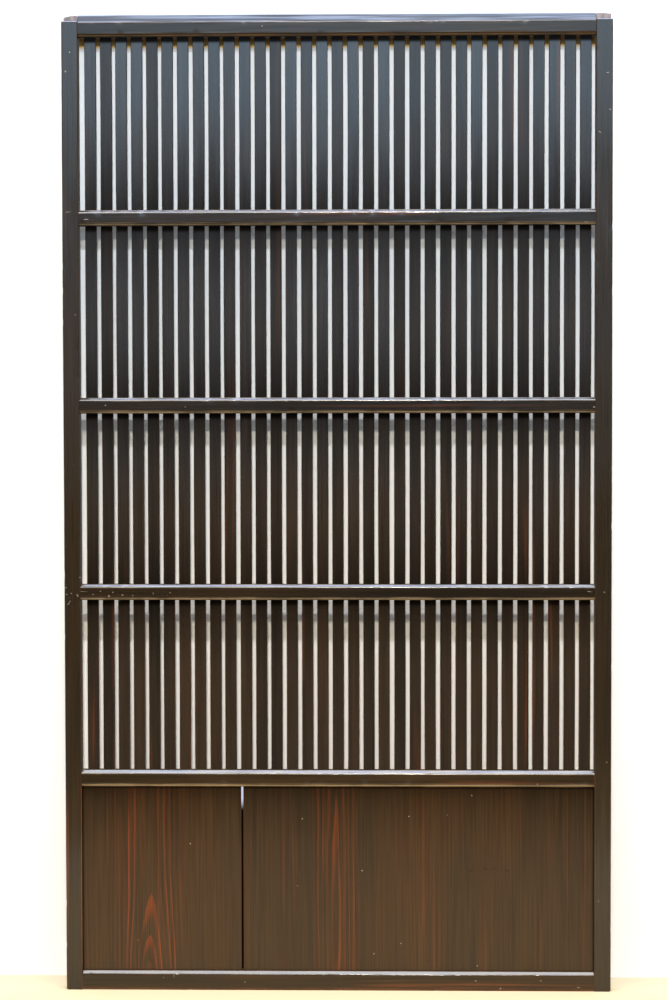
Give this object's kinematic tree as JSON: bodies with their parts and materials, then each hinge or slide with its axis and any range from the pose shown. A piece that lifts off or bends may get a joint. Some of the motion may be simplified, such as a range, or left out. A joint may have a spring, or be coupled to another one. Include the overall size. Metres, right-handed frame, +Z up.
{
  "type": "lattice door",
  "caption": "Sliding lattice door leaf: close upright slats through chamfered cross rails in a slim timber frame, over a boarded foot panel, with a rebated tongue along the head.",
  "frame": {"origin": "middle of the leaf's foot: centre of its width and thickness, at the underside of the bottom rail", "axes": "+Z up the leaf, +X along its width to the right as seen from the front, +Y through its thickness from the front face to the back"},
  "size_m": [0.97, 0.03, 1.73],
  "materials": {
    "stile_wood": "satin",
    "head_wood": "satin",
    "rail_wood": "satin",
    "foot_wood": "satin",
    "slat_wood": "satin",
    "board_wood": "satin"
  },
  "bodies": {
    "root": {"stile_left": "stile_wood", "stile_right": "stile_wood", "top_rail": "head_wood", "cross_rail_1": "rail_wood", "cross_rail_2": "rail_wood", "cross_rail_3": "rail_wood", "waist_rail": "rail_wood", "bottom_rail": "foot_wood", "slat_01": "slat_wood", "slat_02": "slat_wood", "slat_03": "slat_wood", "slat_04": "slat_wood", "slat_05": "slat_wood", "slat_06": "slat_wood", "slat_07": "slat_wood", "slat_08": "slat_wood", "slat_09": "slat_wood", "slat_10": "slat_wood", "slat_11": "slat_wood", "slat_12": "slat_wood", "slat_13": "slat_wood", "slat_14": "slat_wood", "slat_15": "slat_wood", "slat_16": "slat_wood", "slat_17": "slat_wood", "slat_18": "slat_wood", "slat_19": "slat_wood", "slat_20": "slat_wood", "slat_21": "slat_wood", "slat_22": "slat_wood", "slat_23": "slat_wood", "slat_24": "slat_wood", "slat_25": "slat_wood", "slat_26": "slat_wood", "slat_27": "slat_wood", "slat_28": "slat_wood", "slat_29": "slat_wood", "slat_30": "slat_wood", "slat_31": "slat_wood", "slat_32": "slat_wood", "slat_33": "slat_wood", "panel_board_left": "board_wood", "panel_board_right": "board_wood"}
  },
  "joints": []
}
